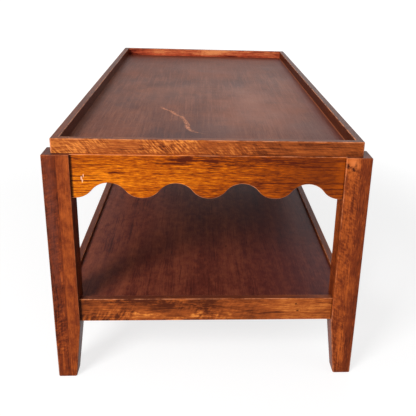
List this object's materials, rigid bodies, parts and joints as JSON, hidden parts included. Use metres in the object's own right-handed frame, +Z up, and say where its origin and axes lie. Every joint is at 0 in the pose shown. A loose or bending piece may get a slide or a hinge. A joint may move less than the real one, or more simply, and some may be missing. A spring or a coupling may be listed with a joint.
{
  "type": "coffee table",
  "caption": "Long wooden coffee table with a shallow tray top, scalloped aprons, square legs tapered at the feet and a full lower shelf.",
  "frame": {"origin": "on the floor, under the middle of the table", "axes": "X across the short side, Y along the length with the pictured end towards -Y, Z up"},
  "size_m": [0.61, 1.22, 0.508],
  "materials": {
    "stained_hardwood": "reddish orange brown stained hardwood under a satin lacquer, worn pale along its edges",
    "stained_panel": "darker reddish brown veneered panel under a satin lacquer",
    "plain_hardwood": "unstained planed hardwood",
    "screw_steel": "dull zinc plated steel"
  },
  "bodies": {
    "root": {"leg_front_left": "stained_hardwood", "leg_front_right": "stained_hardwood", "leg_rear_left": "stained_hardwood", "leg_rear_right": "stained_hardwood", "apron_front": "stained_hardwood", "apron_rear": "stained_hardwood", "apron_left": "stained_hardwood", "apron_right": "stained_hardwood", "tray_rail_front": "stained_hardwood", "tray_rail_rear": "stained_hardwood", "tray_rail_left": "stained_hardwood", "tray_rail_right": "stained_hardwood", "shelf_rail_front": "stained_hardwood", "shelf_rail_rear": "stained_hardwood", "shelf_rail_left": "stained_hardwood", "shelf_rail_right": "stained_hardwood", "tray_panel": "stained_panel", "shelf_panel": "stained_panel", "tray_bearer_front": "plain_hardwood", "tray_bearer_middle": "plain_hardwood", "tray_bearer_rear": "plain_hardwood", "corner_brace_front_left": "plain_hardwood", "corner_brace_front_right": "plain_hardwood", "corner_brace_rear_left": "plain_hardwood", "corner_brace_rear_right": "plain_hardwood", "tray_dowels": "plain_hardwood", "tray_corner_splines": "plain_hardwood", "corner_brace_screws": "screw_steel"}
  },
  "joints": []
}
